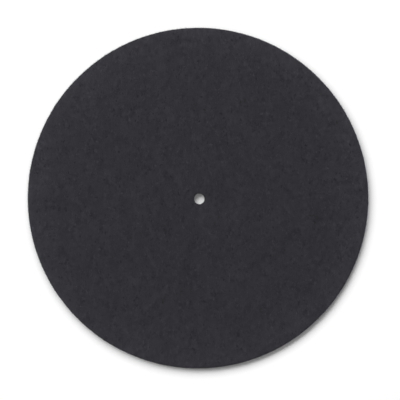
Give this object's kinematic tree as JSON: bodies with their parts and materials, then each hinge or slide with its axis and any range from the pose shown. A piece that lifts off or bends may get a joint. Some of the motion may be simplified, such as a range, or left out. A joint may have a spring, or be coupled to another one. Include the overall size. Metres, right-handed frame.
{
  "type": "turntable platter mat",
  "caption": "Round charcoal felt mat, flat and thin, with a small hole at its centre for a turntable's spindle; it lies on the platter, under the record.",
  "frame": {"origin": "centre of the spindle hole, on the mat's underside", "axes": "+Z up along the spindle, from the platter to the record; +X to the right and +Y up in the picture, which looks down on the mat within about 3 degrees of straight"},
  "size_m": [0.295, 0.295, 0.003],
  "materials": {
    "felt": "matte pressed wool felt, charcoal"
  },
  "bodies": {
    "root": {"platter_mat": "felt"}
  },
  "joints": []
}
